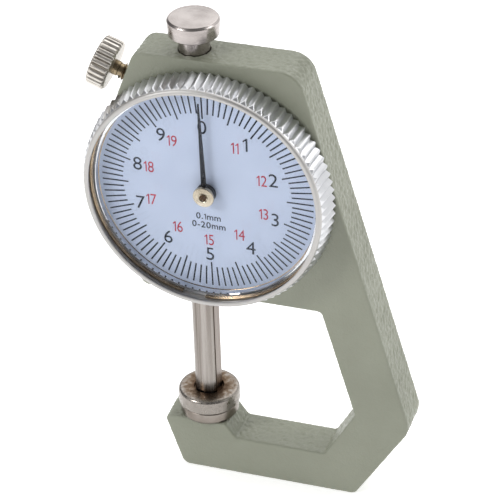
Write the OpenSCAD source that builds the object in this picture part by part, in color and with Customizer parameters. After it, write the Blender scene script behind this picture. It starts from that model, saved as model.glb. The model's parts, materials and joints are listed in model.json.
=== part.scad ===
// Dial thickness gauge: cast frame, rack plunger, pinion movement and a turning dial bezel.
// The dial faces -Y and +Z is up. The origin lies on the foot, under the plunger's axis.
// Heights through the gauge are counted from the frame's middle plane towards the dial.

/* [Measuring] */
// Travel of the plunger
travel = 20; // [17:0.5:21]
// Plunger travel for one turn of the pointer
travel_per_turn = 10; // [9:0.5:11]
// Room left above the contact when the plunger is fully up
lift_room = 2.4; // [1.5:0.1:5]
// Teeth on the pinion
pinion_teeth = 16; // [14:1:18]
// Teeth on the take-up wheel
wheel_teeth = 60; // [48:2:64]
// Play between meshing teeth
tooth_play = 0.04; // [0.02:0.01:0.08]

/* [Frame] */
// Thickness of the casting
frame_t = 8; // [7.4:0.1:10]
// Left end of the foot
foot_left = -4; // [-5:0.1:-2]
// Right end of the foot
foot_right = 28.2; // [25:0.1:30]
// Front tip of the lower arm
tip_x = -7.45; // [-8.5:0.05:-6]
// Height of the anvil's seat on the arm
seat_z = 10.45; // [9:0.05:13]
// Right end of the anvil's seat
seat_right = 4.2; // [3.5:0.1:6]
// Length of the ramp from the seat down to the arm
ramp_run = 1.9; // [1:0.1:4]
// Height of the arm between the ramp and the column
arm_z = 7.8; // [5:0.1:8.5]
// Inner end of the arm, where it turns up to the column
heel_x = 22.7; // [20:0.1:24]
// Height of the column's inner knee
knee_z = 17.3; // [15:0.1:21]
// Throat from the plunger's axis to the column, under the head
throat = 22.4; // [20:0.1:26]
// Width of the column
column_w = 9.6; // [8:0.1:12]
// Lean of the column from upright
column_lean = 15.8; // [12:0.1:18]
// Height of the column's outer knee
outer_knee_z = 15.9; // [12:0.1:20]
// Left end of the head's underside, inside the bezel's left edge
head_inset = 8.49; // [7.5:0.01:9.5]
// Widest point of the head's left side, inside the bezel's left edge
side_inset = 2.19; // [1.5:0.01:3]
// Height of that widest point above the dial's centre
side_rise = 5.5; // [3:0.1:7]
// Left end of the head's top face, inside the bezel's left edge
top_inset = 9.19; // [8.5:0.01:10]
// Head above the bezel
head_above = 1.5; // [0.5:0.1:4]
// Radius of the corners of the foot and of the head's left side
corner_r = 1.6; // [0.8:0.1:2.2]
// Radius of the head's top corner over the lock screw
head_corner_r = 2.5; // [1.5:0.1:3]
// Radius of the column's outer corners
column_corner_r = 4.2; // [2:0.1:5]
// Radius of the corners inside the throat
throat_r = 1.0; // [0.5:0.1:2]

/* [Plunger] */
// Diameter of the plunger
rod_d = 4.8; // [4.4:0.1:5]
// Depth of the flat along the plunger
flat_cut = 0.4; // [0.3:0.05:0.6]
// Running clearance of the plunger in its bushes
rod_play = 0.04; // [0.02:0.01:0.08]
// Outer diameter of the bushes
bush_d = 6.2; // [5.8:0.1:6.6]
// Flange diameter of the lower bush
bush_flange_d = 7.4; // [7:0.1:7.8]
// Flange thickness of the lower bush
bush_flange_t = 0.8; // [0.5:0.1:1.2]
// Diameter of the moving contact
contact_d = 11; // [9:0.1:12]
// Height of the moving contact
contact_h = 2.97; // [2.5:0.01:4]
// Chamfer round the top of the moving contact
contact_chamfer = 0.5; // [0.2:0.05:0.8]
// Gap round the plunger in the top of the contact
contact_recess = 0.25; // [0.15:0.05:0.5]
// Depth of that gap
contact_recess_h = 0.7; // [0.3:0.1:1]
// Thread diameter at the plunger's lower end
contact_stud_d = 2.5; // [2:0.1:3]
// Diameter of the anvil
anvil_d = 10.4; // [9:0.1:11]
// Height of the anvil above its seat
anvil_h = 2.2; // [1.5:0.1:3.5]
// Diameter of the anvil's stem
anvil_stem_d = 4; // [3:0.1:5]
// Length of the anvil's stem
anvil_stem_h = 5; // [3:0.1:6]

/* [Lift knob] */
// Largest diameter of the knob
knob_d = 8.9; // [8:0.1:11]
// Smallest diameter of the knob, at its underside
knob_low_d = 8.2; // [7:0.1:8.5]
// Height of the knob's head
knob_h = 3.1; // [2.5:0.05:4]
// Chamfer round the knob's top
knob_chamfer = 0.5; // [0.2:0.05:0.8]
// Space under the knob's head when the plunger is down
knob_gap = 2.8; // [2:0.1:5]
// Diameter of the knob's neck
neck_d = 5.3; // [5:0.05:5.6]
// Length of the neck that dips into the frame
neck_dip = 1.0; // [0.5:0.1:1.4]
// Thread diameter at the plunger's upper end
knob_stud_d = 3; // [2.5:0.1:3.4]

/* [Bezel and dial] */
// Diameter of the bezel over its ridges, at the back
bezel_d = 44; // [43:0.1:46]
// Radius the bezel loses from the back of its ridges to their front
bezel_taper = 0.55; // [0.4:0.05:0.55]
// Ridges round the bezel
bezel_ridges = 90; // [60:2:100]
// Depth of the grooves at the front of the ridges
ridge_depth = 0.45; // [0.3:0.05:0.5]
// Wall of the bezel from its ridges to the dial
bezel_wall = 1.8; // [1.75:0.05:2]
// Bezel below the level of the head's underside
bezel_lift = 0.45; // [0.2:0.05:3]
// Turning clearance of the bezel on the frame
bezel_play = 0.06; // [0.03:0.01:0.09]
// Height of the round boss that carries the bezel
boss_rise = 1.4; // [1.2:0.1:2]
// Wall of that boss
boss_wall = 1.7; // [1.4:0.1:2]
// Thickness of the dial plate
dial_t = 0.5; // [0.4:0.05:0.8]
// Room for the pointer between the dial and the crystal
pointer_room = 2.4; // [2.2:0.1:3]
// Thickness of the crystal
crystal_t = 0.6; // [0.5:0.05:1]
// Height of the crystal's front below the bezel's lip
lip_rise = 0.35; // [0.2:0.05:0.6]
// Height of the spacer ring on the dial
spacer_rise = 1.45; // [1.1:0.05:1.5]
// Width of the spacer ring
spacer_w = 0.75; // [0.6:0.05:1]
// Wire diameter of the split ring that holds the spacer and the dial
snap_wire_d = 0.42; // [0.36:0.02:0.54]
// Wire diameter of the ring that holds the bezel
bezel_wire_d = 0.6; // [0.5:0.05:0.7]
// Length of the pointer
pointer_l = 17.5; // [14:0.1:18]
// Width of the pointer at its root
pointer_w = 1.0; // [0.6:0.05:1.2]
// Turn of the zero mark from upright, to the left
zero_turn = 1.6; // [-5:0.1:5]
// Diameter of the pointer's hub
hub_d = 3.7; // [3:0.1:4.5]

/* [Lock screw] */
// Thread diameter of the lock screw
lock_d = 3; // [2.5:0.1:3.2]
// Diameter of the lock screw's head
lock_head_d = 8.8; // [7:0.1:10]
// Length of the lock screw's head
lock_head_h = 3.4; // [2.5:0.1:4]
// Ridges round the lock screw's head
lock_ridges = 26; // [20:1:32]
// Distance from the frame to the lock screw's head
lock_gap = 2.7; // [1.5:0.1:4]
// Height of the frame's top above the lock screw's hole
lock_drop = 6.5; // [5.5:0.1:7]
// Gap between the lock pad and the plunger when unlocked
lock_free = 0.3; // [0.2:0.05:0.5]

/* [Movement] */
// Pressed fit of shafts in the movement's bearings
pivot_play = 0.03; // [0.02:0.01:0.05]
// Thickness of the take-up wheel
wheel_t = 0.5; // [0.4:0.05:0.6]
// Thickness of the bridge
bridge_t = 1.0; // [0.8:0.05:1.1]
// Room between the bridge's ends and the wall round the movement
bridge_room = 2.0; // [1.5:0.1:2.5]
// Diameter of the pillars under the bridge
pillar_d = 4; // [3.5:0.1:4.5]
// Thread diameter of the bridge's screws
bridge_screw_d = 1.6; // [1.4:0.1:2]
// Length of the bridge's screws in the frame
bridge_screw_l = 3.5; // [2.5:0.1:4]
// Distance of the return spring from the plunger's axis
spring_x = 5.6; // [5.4:0.1:6]
// Outer diameter of the return spring
spring_d = 2.4; // [2:0.1:2.6]
// Wire diameter of the return spring
spring_wire_d = 0.24; // [0.18:0.02:0.26]
// Length of the return spring between its post and its pin, plunger down
spring_span = 5; // [4.5:0.1:6]
// Outer diameter of the hairspring
hair_d = 8.4; // [7:0.1:9]

/* [Hidden] */
$fn = 64;
eps = 0.02;
// Gap between the closed measuring faces
rest_gap = 0.02;
// Gap between parts that turn or slide past each other
free_gap = 0.3;
// Clearance of parts that sit in a recess
seat_play = 0.05;

rod_r = rod_d / 2;
bezel_r = bezel_d / 2;
anvil_z = seat_z + anvil_h;
contact_z = anvil_z + rest_gap;
contact_top = contact_z + contact_h;
head_z = contact_top + travel + lift_room;
dial_z = head_z + bezel_r + bezel_lift;
top_z = dial_z + bezel_r + head_above;

// Teeth: rack pitch, module, and the dial's offset from the plunger
pressure_angle = 20;
pitch = travel_per_turn / pinion_teeth;
tooth_m = pitch / PI;
addendum = 0.9 * tooth_m;
dedendum = 1.25 * tooth_m;
flat_x = rod_r - flat_cut;
rack_line = flat_x - addendum;
dial_x = rack_line + pinion_teeth * tooth_m / 2;
rack_margin = 1.5;
gaps_below = ceil((travel + rack_margin) / pitch);
gaps_above = ceil(rack_margin / pitch);
flat_top = dial_z + rack_margin + 2;
bezel_left = dial_x - bezel_r;
head_left = bezel_left + head_inset;
side_x = bezel_left + side_inset;
top_left = bezel_left + top_inset;

// Heights from the middle plane towards the dial
front_h = frame_t / 2;
floor_h = -(rod_r + free_gap);
boss_h = front_h + boss_rise;
bezel_back_h = front_h + free_gap;
dial_back_h = boss_h + free_gap;
dial_h = dial_back_h + dial_t;
spacer_h = dial_h + spacer_rise;
snap_h = spacer_h + snap_wire_d + seat_play;
crystal_h = dial_h + pointer_room;
lip_h = crystal_h + crystal_t;
bezel_h = lip_h + lip_rise;
band_h = bezel_h - 1.3;
ridge_end_h = band_h - ridge_depth;
bezel_wire_h = (bezel_back_h + boss_h) / 2;

// Radii of the bezel and of what it holds, from the bezel's wall
wall_r = bezel_r - bezel_wall;
held_r = wall_r - seat_play;
crystal_seat_r = wall_r + 0.2;
lip_r = wall_r + 0.35;
crystal_r = lip_r - seat_play;
lip_t = 0.2;
snap_r = wall_r;
snap_groove_r = snap_r + snap_wire_d / 2 + seat_play;
dial_ledge = 1.0;
boss_r = wall_r - dial_ledge;
pocket_r = boss_r - boss_wall;
ridge_end_r = bezel_r - bezel_taper;
ridge_root_r = ridge_end_r - ridge_depth;

// Lock screw: square to the sloping left shoulder, through the middle of the casting
side_z = dial_z + side_rise;
lock_tilt = atan((top_left - side_x) / (top_z - side_z));
lock_entry_x = top_left - lock_drop * tan(lock_tilt);
lock_z = top_z - lock_drop + lock_entry_x * tan(lock_tilt);
lock_entry = -lock_entry_x / cos(lock_tilt);
lock_hole_r = lock_d / 2 + 0.05;
pad_r = lock_d / 2 - 0.05;
pad_dome_r = 2;
pad_centre = (rod_r + lock_free + pad_dome_r) / cos(lock_tilt);
pad_back = pad_centre + 0.6;

// Return spring between a post in the frame and a pin in the plunger
spring_post_d = 1.2;
spring_pin_d = 1.0;
loop_play = 0.08;
loop_r = (spring_post_d + spring_wire_d) / 2 + loop_play;
pad_low_z = lock_z + spring_x * tan(lock_tilt) - (lock_hole_r + 0.6) / cos(lock_tilt);
spring_pin_z = pad_low_z - travel - spring_pin_d / 2 - 2 * free_gap;
spring_post_z = spring_pin_z - spring_span;
spring_well_r = spring_d / 2 + free_gap;

// Take-up wheel: a pinion tooth points at its centre
tooth_step = 360 / pinion_teeth;
wheel_dir = 180 + round(135 / tooth_step) * tooth_step;
wheel_c = tooth_m * (pinion_teeth + wheel_teeth) / 2;
wheel_at = wheel_c * [cos(wheel_dir), sin(wheel_dir)];
wheel_h = rod_r + free_gap;
pinion_back_h = -1.3;
pinion_front_h = wheel_h + wheel_t + 0.05;
bridge_h = front_h;
pivot_seat = 0.8;
bush_front_h = floor_h + 0.8;
hair_h = -1.2;
hair_strip = 0.4;
collet_r = 1.2;
pillar_turn = 10;
bridge_w = pillar_d + 1;
pillar_reach = pocket_r - bridge_room - bridge_w / 2;
pillars = [for (s = [-1, 1]) s * pillar_reach * [cos(pillar_turn), sin(pillar_turn)]];
pinion_pivot_d = 1.0;
wheel_pivot_d = 0.8;
arbor_d = 1.2;
stud_d = 1.0;
stud_at = wheel_at + (hair_d / 2 + stud_d / 2) * [cos(wheel_dir), sin(wheel_dir)];

steel = [0.66, 0.65, 0.64];
nickel = [0.72, 0.68, 0.62];
brass = [0.78, 0.64, 0.35];
alloy = [0.80, 0.80, 0.81];
paint = [0.58, 0.59, 0.53];

function unit(v) = v / norm(v);
function polar(r, a) = r * [cos(a), sin(a)];
function lean_x(z) = throat + (head_z - z) * tan(column_lean);

// Points of one rounded corner b between a and c
function corner_arc(a, b, c, r, n = 8) =
    let(u = unit(a - b), v = unit(c - b), half = acos(u * v) / 2)
    let(centre = b + unit(u + v) * r / sin(half))
    let(s = b + u * r / tan(half) - centre, e = b + v * r / tan(half) - centre)
    let(start = atan2(s[1], s[0]), turn = atan2(s[0] * e[1] - s[1] * e[0], s * e))
    [for (i = [0:n]) centre + polar(r, start + turn * i / n)];

// Outline through corners given as [point, radius]
function rounded(corners) =
    let(n = len(corners))
    [for (i = [0:n - 1])
        let(before = corners[(i + n - 1) % n][0], after = corners[(i + 1) % n][0])
        each corner_arc(before, corners[i][0], after, corners[i][1])];

// Gear outline with involute flanks, first tooth on the X axis
function inv(a) = tan(a) * 180 / PI - a;
function tooth_half(r, rp, rb) =
    let(at_pitch = (pitch - tooth_play) / 4 / rp * 180 / PI)
    at_pitch + inv(pressure_angle) - inv(acos(min(1, rb / r)));
function gear_outline(teeth) =
    let(rp = teeth * tooth_m / 2, rb = rp * cos(pressure_angle))
    let(root = rp - dedendum, tip = rp + addendum, low = max(root + 0.02, rb))
    let(radii = [root, low, rp, tip])
    [for (i = [0:teeth - 1], j = [0:7])
        let(k = j < 4 ? j : 7 - j, side = j < 4 ? -1 : 1)
        polar(radii[k], i * 360 / teeth + side * tooth_half(max(radii[k], rb), rp, rb))];

// Star with flat-sided ridges
function star(r_tip, r_root, ridges) =
    [for (i = [0:2 * ridges - 1]) polar(i % 2 == 0 ? r_tip : r_root, i * 180 / ridges)];

frame_outline = rounded([
    [[foot_left, 0], corner_r],
    [[foot_right, 0], corner_r],
    [[lean_x(outer_knee_z) + column_w, outer_knee_z], column_corner_r],
    [[lean_x(top_z) + column_w, top_z], column_corner_r],
    [[top_left, top_z], head_corner_r],
    [[side_x, side_z], corner_r],
    [[head_left, head_z], corner_r],
    [[throat, head_z], throat_r],
    [[lean_x(knee_z), knee_z], throat_r],
    [[heel_x, arm_z], throat_r],
    [[seat_right + ramp_run, arm_z], throat_r],
    [[seat_right, seat_z], throat_r],
    [[tip_x, seat_z], throat_r],
]);

// Local frame at a point of the front view: x right, y up, z towards the dial
module facing(x, z) {
    translate([x, 0, z]) rotate([90, 0, 0]) children();
}

module on_dial() {
    facing(dial_x, dial_z) children();
}

module on_wheel() {
    on_dial() translate(wheel_at) children();
}

// Local frame along the lock screw: z points out of the frame, origin on the plunger's axis
module along_lock() {
    translate([0, 0, lock_z]) rotate([0, lock_tilt - 90, 0]) children();
}

module disc(r, low, high) {
    translate([0, 0, low]) cylinder(r = r, h = high - low);
}

module ring(r_in, r_out, low, high) {
    difference() {
        disc(r_out, low, high);
        disc(r_in, low - eps, high + eps);
    }
}

module slab(low, high) {
    translate([0, 0, low]) linear_extrude(high - low) children();
}

// Split ring of round wire, with its gap centred at gap_turn
module wire_ring(r, wire_d, height, gap, gap_turn) {
    translate([0, 0, height]) rotate(gap_turn + gap / 2)
        rotate_extrude(angle = 360 - gap) translate([r, 0]) circle(d = wire_d);
}

// Hollow behind the dial, with the pillars that carry the bridge left standing
module movement_pocket() {
    difference() {
        disc(pocket_r, floor_h, boss_h + eps);
        for (p = pillars) translate(p) disc(pillar_d / 2, floor_h - eps, bridge_h);
    }
}

// Notch in the hollow's wall for the lower end of the return spring
module spring_well() {
    facing(-spring_x, 0) slab(floor_h, boss_h + eps) union() {
        translate([-spring_well_r, spring_post_z]) square([2 * spring_well_r, dial_z - spring_post_z]);
        translate([0, spring_post_z]) circle(r = spring_well_r);
    }
}

module frame() {
    color(paint) difference() {
        union() {
            facing(0, 0) slab(-front_h, front_h) polygon(frame_outline);
            on_dial() disc(wall_r, -front_h, front_h);
            on_dial() disc(boss_r, 0, boss_h);
        }
        on_dial() movement_pocket();
        spring_well();
        on_dial() ring(boss_r - bezel_wire_d / 2 - 0.1, boss_r + eps,
            bezel_wire_h - bezel_wire_d / 2 - 0.05, bezel_wire_h + bezel_wire_d / 2 + 0.05);
        on_dial() disc(bush_outer_r(pinion_pivot_d), floor_h - pivot_seat, floor_h + eps);
        on_wheel() disc(bush_outer_r(wheel_pivot_d), floor_h - pivot_seat, floor_h + eps);
        on_dial() translate(stud_at) disc(stud_d / 2, floor_h - pivot_seat, floor_h + eps);
        on_dial() for (p = pillars) translate(p)
            disc(bridge_screw_d / 2, bridge_h - bridge_screw_l - free_gap, bridge_h + eps);
        facing(-spring_x, spring_post_z) disc(spring_post_d / 2, floor_h - pivot_seat, floor_h + eps);
        disc(bush_d / 2, head_z - eps, dial_z);
        disc(bush_d / 2, dial_z, upper_bush_top);
        disc(neck_d / 2 + free_gap / 2, upper_bush_top - eps, top_z + eps);
        disc(anvil_stem_d / 2, seat_z - anvil_stem_h, seat_z + eps);
        along_lock() disc(lock_hole_r, 0, lock_entry + 2);
    }
}

module anvil() {
    color(steel) {
        rotate_extrude() polygon([
            [0, seat_z],
            [anvil_d / 2 - 0.3, seat_z],
            [anvil_d / 2, seat_z + 0.5],
            [anvil_d / 2, anvil_z - 0.1],
            [anvil_d / 2 - 0.1, anvil_z],
            [0, anvil_z],
        ]);
        disc(anvil_stem_d / 2, seat_z - anvil_stem_h, seat_z + eps);
    }
}

// Plunger's section: round with one flat, grown by a clearance
module rod_section(low, high, grow) {
    difference() {
        disc(rod_r + grow, low, high);
        translate([flat_x + grow, -rod_d, low - eps]) cube([rod_d, 2 * rod_d, high - low + 2 * eps]);
    }
}

function pocket_reach(x) = sqrt(pocket_r ^ 2 - (abs(x) + dial_x) ^ 2);
lower_bush_top = dial_z - pocket_reach(bush_d / 2) + 0.6;
upper_bush_low = dial_z + pocket_reach(bush_d / 2) - 0.2;
upper_bush_top = top_z - neck_dip - 0.5;

module lower_bush() {
    color(brass) difference() {
        union() {
            disc(bush_d / 2, head_z - eps, lower_bush_top);
            disc(bush_flange_d / 2, head_z - bush_flange_t, head_z);
        }
        rod_section(head_z - bush_flange_t - eps, lower_bush_top + eps, rod_play);
    }
}

module upper_bush() {
    color(brass) ring(rod_r + rod_play, bush_d / 2, upper_bush_low, upper_bush_top);
}

function bush_outer_r(pivot_d) = pivot_d / 2 + 0.9;

module pivot_bush(pivot_d) {
    ring(pivot_d / 2 + pivot_play, bush_outer_r(pivot_d), floor_h - pivot_seat, bush_front_h);
}

module back_bushes() {
    color(brass) {
        on_dial() pivot_bush(pinion_pivot_d);
        on_wheel() pivot_bush(wheel_pivot_d);
    }
}

// Round-ended arm from the dial's centre to a point
module bridge_arm(to, w) {
    end = [for (a = [-90:15:90]) [norm(to) + w / 2 * cos(a), w / 2 * sin(a)]];
    heel = [for (a = [90:15:270]) [w / 2 * cos(a), w / 2 * sin(a)]];
    rotate(atan2(to[1], to[0])) polygon(concat(end, heel));
}

module bridge_plate() {
    low = bridge_h - eps;
    high = bridge_h + bridge_t + eps;
    color(brass) on_dial() difference() {
        slab(bridge_h, bridge_h + bridge_t) union() {
            for (p = pillars) bridge_arm(p, bridge_w);
            bridge_arm(wheel_at, pillar_d);
        }
        disc(arbor_d / 2 + pivot_play, low, high);
        translate(wheel_at) disc(wheel_pivot_d / 2 + pivot_play, low, high);
        for (p = pillars) translate(p) disc(bridge_screw_d / 2, low, high);
    }
}

module bridge_screws() {
    head_h = bridge_h + bridge_t;
    color(steel) on_dial() for (p = pillars) translate(p) difference() {
        union() {
            disc(bridge_screw_d / 2, bridge_h - bridge_screw_l, head_h);
            disc(bridge_screw_d, head_h, head_h + 0.5);
        }
        translate([-bridge_screw_d - eps, -0.15, head_h + 0.25]) cube([2 * bridge_screw_d + 2 * eps, 0.3, 0.3]);
    }
}

module spring_post() {
    color(steel) facing(-spring_x, spring_post_z) union() {
        disc(spring_post_d / 2, floor_h - pivot_seat, 0.8);
        disc(spring_post_d / 2 + 0.3, 0.5, 0.9);
    }
}

module hairspring_stud() {
    color(brass) on_dial() translate(stud_at)
        disc(stud_d / 2, floor_h - pivot_seat, hair_h + hair_strip + 0.3);
}

module bezel_wire() {
    color(steel) on_dial() wire_ring(boss_r, bezel_wire_d, bezel_wire_h, 24, 90);
}

rod_low = contact_top - contact_recess_h;
rod_high = top_z - neck_dip;
contact_stud_h = contact_h - contact_recess_h - 0.8;
knob_low = top_z + knob_gap;
knob_top = knob_low + knob_h;
knob_stud_h = neck_dip + knob_gap + 0.8;

// One gap of the rack, cut across the flat
module rack_gap() {
    slope = tan(pressure_angle);
    half = (pitch + tooth_play) / 4;
    deep = half - dedendum * slope;
    wide = half + (addendum + 0.1) * slope;
    rotate([90, 0, 0]) translate([0, 0, -rod_d]) linear_extrude(2 * rod_d) polygon([
        [rack_line - dedendum, -deep],
        [flat_x + 0.1, -wide],
        [flat_x + 0.1, wide],
        [rack_line - dedendum, deep],
    ]);
}

module plunger_rod() {
    color(steel) difference() {
        union() {
            rod_section(rod_low, flat_top, 0);
            disc(rod_r, flat_top, rod_high);
            disc(contact_stud_d / 2, rod_low - contact_stud_h, rod_low + eps);
            disc(knob_stud_d / 2, rod_high - eps, rod_high + knob_stud_h);
        }
        for (i = [-gaps_below:gaps_above]) translate([0, 0, dial_z + i * pitch]) rack_gap();
        translate([0, 0, spring_pin_z]) rotate([0, -90, 0]) disc(spring_pin_d / 2, rod_r - 1.4, rod_d);
    }
}

module contact_tip() {
    r = contact_d / 2;
    color(steel) difference() {
        rotate_extrude() polygon([
            [0, contact_z],
            [r - 0.15, contact_z],
            [r, contact_z + 0.15],
            [r, contact_top - contact_chamfer],
            [r - contact_chamfer / 2, contact_top],
            [0, contact_top],
        ]);
        disc(rod_r + contact_recess, rod_low, contact_top + eps);
        disc(contact_stud_d / 2, rod_low - contact_stud_h, contact_top);
    }
}

module lift_knob() {
    r = knob_d / 2;
    low_r = knob_low_d / 2;
    color(steel) difference() {
        rotate_extrude() polygon([
            [0, rod_high],
            [neck_d / 2, rod_high],
            [neck_d / 2, knob_low],
            [low_r - 0.3, knob_low],
            [low_r, knob_low + 0.2],
            [r, knob_top - knob_chamfer],
            [r - 0.9 * knob_chamfer, knob_top],
            [0, knob_top],
        ]);
        disc(knob_stud_d / 2, rod_high - eps, rod_high + knob_stud_h);
    }
}

module spring_pin() {
    color(steel) translate([0, 0, spring_pin_z]) rotate([0, -90, 0]) union() {
        disc(spring_pin_d / 2, rod_r - 1.4, spring_x + 0.8);
        disc(spring_pin_d / 2 + 0.25, spring_x + 0.5, spring_x + 0.8);
    }
}

// Extension spring: a loop on the post, the coils, and a loop on the pin
spring_low = spring_post_z + loop_r;
pin_loop_r = (spring_pin_d + spring_wire_d) / 2 + loop_play;
spring_high = spring_pin_z - pin_loop_r;
spring_turns = floor((spring_high - spring_low) / (spring_wire_d * 1.25));
spring_steps = 12;
coil_r = (spring_d - spring_wire_d) / 2;
function spring_loop_low() =
    [for (a = [-200:20:70]) [loop_r * cos(a), 0, spring_post_z + loop_r * sin(a)]];
function spring_loop_high() =
    [for (a = [-70:20:200]) [0, pin_loop_r * cos(a), spring_pin_z + pin_loop_r * sin(a)]];
function spring_coils() =
    let(n = spring_turns * spring_steps)
    [for (i = [0:n])
        let(grow = min(1, i / spring_steps * 2, (n - i) / spring_steps * 2))
        let(a = 180 + i * 360 / spring_steps)
        [coil_r * grow * cos(a), coil_r * grow * sin(a), spring_low + (spring_high - spring_low) * i / n]];

// Tube of round wire along a path, with its frame carried from point to point
module wire_tube(path, r, sides = 6) {
    n = len(path);
    tangents = [for (i = [0:n - 1]) unit(path[min(i + 1, n - 1)] - path[max(i - 1, 0)])];
    seed = cross(tangents[0], [0.3, 1, 0.2]);
    normals = [for (i = 0, v = unit(seed); i < n;
        i = i + 1, v = i < n ? unit(v - (v * tangents[i]) * tangents[i]) : v) v];
    points = [for (i = [0:n - 1], j = [0:sides - 1])
        let(a = j * 360 / sides)
        path[i] + r * (cos(a) * normals[i] + sin(a) * cross(tangents[i], normals[i]))];
    walls = [for (i = [0:n - 2], j = [0:sides - 1])
        let(k = (j + 1) % sides)
        [i * sides + j, (i + 1) * sides + j, (i + 1) * sides + k, i * sides + k]];
    caps = [[for (j = [0:sides - 1]) j], [for (j = [sides - 1:-1:0]) (n - 1) * sides + j]];
    polyhedron(points, concat(walls, caps));
}

module return_spring() {
    path = concat(spring_loop_low(), spring_coils(), spring_loop_high());
    color(steel) translate([-spring_x, 0, 0]) wire_tube(path, spring_wire_d / 2);
}

hub_h = crystal_h - free_gap;
hub_t = 0.6;
hub_disc_h = hub_h - hub_t;
pointer_t = 0.2;
pointer_boss_r = hub_d / 2 - 0.1;

module pinion_arbor() {
    color(steel) on_dial() {
        disc(pinion_pivot_d / 2, floor_h - 0.6, pinion_back_h + eps);
        disc(0.9, bush_front_h + 0.15, pinion_back_h + eps);
        rotate(180) slab(pinion_back_h, pinion_front_h) polygon(gear_outline(pinion_teeth));
        disc(arbor_d / 2, pinion_front_h - eps, hub_h - seat_play);
    }
}

// Blade on a round boss that stands over the dial
module pointer() {
    tip_w = 0.28;
    blade_h = hub_disc_h - 0.15;
    color([0.05, 0.05, 0.06]) on_dial() rotate(zero_turn) difference() {
        union() {
            slab(blade_h - pointer_t, blade_h) polygon([
                [-pointer_w / 2, 0],
                [pointer_w / 2, 0],
                [tip_w / 2, pointer_l],
                [-tip_w / 2, pointer_l],
            ]);
            disc(pointer_boss_r, dial_h + free_gap, hub_disc_h);
        }
        disc(arbor_d / 2, dial_h, hub_h);
    }
}

module pointer_hub() {
    edge = 0.15;
    color(nickel) on_dial() difference() {
        translate([0, 0, hub_disc_h]) rotate_extrude() polygon([
            [0, 0],
            [hub_d / 2, 0],
            [hub_d / 2, hub_t - edge],
            [hub_d / 2 - edge, hub_t],
            [0, hub_t],
        ]);
        disc(arbor_d / 2, dial_h, hub_h + eps);
    }
}

module take_up_wheel() {
    rim_r = wheel_teeth * tooth_m / 2;
    color(brass) on_wheel() difference() {
        rotate(wheel_dir + 180 - 180 / wheel_teeth)
            slab(wheel_h, wheel_h + wheel_t) polygon(gear_outline(wheel_teeth));
        disc(arbor_d / 2, wheel_h - eps, wheel_h + wheel_t + eps);
        for (i = [0:3]) rotate(45 + 90 * i) translate([rim_r * 0.58, 0, 0])
            disc(rim_r * 0.24, wheel_h - eps, wheel_h + wheel_t + eps);
    }
}

module take_up_arbor() {
    color(steel) on_wheel() {
        disc(wheel_pivot_d / 2, floor_h - 0.6, bush_front_h + 0.2);
        disc(arbor_d / 2, bush_front_h + 0.15, bridge_h - 0.15);
        disc(collet_r, hair_h - 0.1, hair_h + hair_strip + 0.1);
        disc(collet_r, wheel_h - 0.5, wheel_h);
        disc(wheel_pivot_d / 2, bridge_h - 0.2, bridge_h + bridge_t);
    }
}

module hairspring() {
    turns = 3.5;
    strip_t = 0.12;
    steps = round(turns * 24);
    inner = collet_r + strip_t / 2;
    outer = hair_d / 2 - strip_t / 2;
    end_turn = wheel_dir - turns * 360;
    function strip(side) = [for (i = [0:steps])
        polar(inner + (outer - inner) * i / steps + side * strip_t / 2, end_turn + turns * 360 * i / steps)];
    back = strip(-1);
    color(steel) on_wheel() slab(hair_h, hair_h + hair_strip)
        polygon(concat(strip(1), [for (i = [steps:-1:0]) back[i]]));
}

module bezel() {
    bore_r = boss_r + bezel_play;
    wire_r = boss_r + bezel_wire_d / 2 + 0.1;
    wire_half = bezel_wire_d / 2 + 0.05;
    color(alloy) on_dial() intersection() {
        rotate_extrude($fn = 180) polygon([
            [bore_r, bezel_back_h],
            [bezel_r - 0.25, bezel_back_h],
            [bezel_r, bezel_back_h + 0.25],
            [ridge_end_r, ridge_end_h],
            [ridge_root_r - eps, band_h],
            [lip_r + lip_t + 0.12, bezel_h - 0.3],
            [lip_r + lip_t, bezel_h],
            [lip_r, bezel_h],
            [lip_r, crystal_h],
            [crystal_seat_r, crystal_h],
            [crystal_seat_r, snap_h],
            [snap_groove_r, snap_h],
            [snap_groove_r, spacer_h],
            [wall_r, spacer_h],
            [wall_r, dial_back_h],
            [bore_r, dial_back_h],
            [bore_r, bezel_wire_h + wire_half],
            [wire_r, bezel_wire_h + wire_half],
            [wire_r, bezel_wire_h - wire_half],
            [bore_r, bezel_wire_h - wire_half],
        ]);
        slab(0, bezel_h + 1) polygon(star(bezel_r + 0.05, ridge_root_r, bezel_ridges));
    }
}

module dial_plate() {
    color([0.74, 0.79, 0.86]) on_dial() ring(arbor_d / 2 + free_gap, held_r, dial_back_h, dial_h);
}

module spacer_ring() {
    color(alloy) on_dial() ring(held_r - spacer_w, held_r, dial_h, spacer_h);
}

module crystal() {
    color([0.9, 0.95, 1.0, 0.25]) on_dial() disc(crystal_r, crystal_h, lip_h);
}

module snap_ring() {
    gap = 11.5; // width of the split, in degrees
    gap_turn = -97; // place of the split, from the right-hand side
    color([0.45, 0.36, 0.28]) on_dial()
        wire_ring(snap_r, snap_wire_d, spacer_h + snap_wire_d / 2, gap, gap_turn);
}

module lock_screw() {
    head_low = lock_entry + lock_gap;
    head_high = head_low + lock_head_h;
    r = lock_head_d / 2;
    color(nickel) along_lock() {
        intersection() {
            rotate_extrude() polygon([
                [0, head_low],
                [r - 0.4, head_low],
                [r, head_low + 0.4],
                [r, head_high - 0.4],
                [r - 0.4, head_high],
                [0, head_high],
            ]);
            slab(head_low - 1, head_high + 1) polygon(star(r + 0.05, r - 0.45, lock_ridges));
        }
        disc(lock_d / 2 - 0.2, lock_entry + lock_gap - 1.1, head_low + eps);
        disc(lock_d / 2, pad_back, lock_entry + lock_gap - 1);
    }
}

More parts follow.
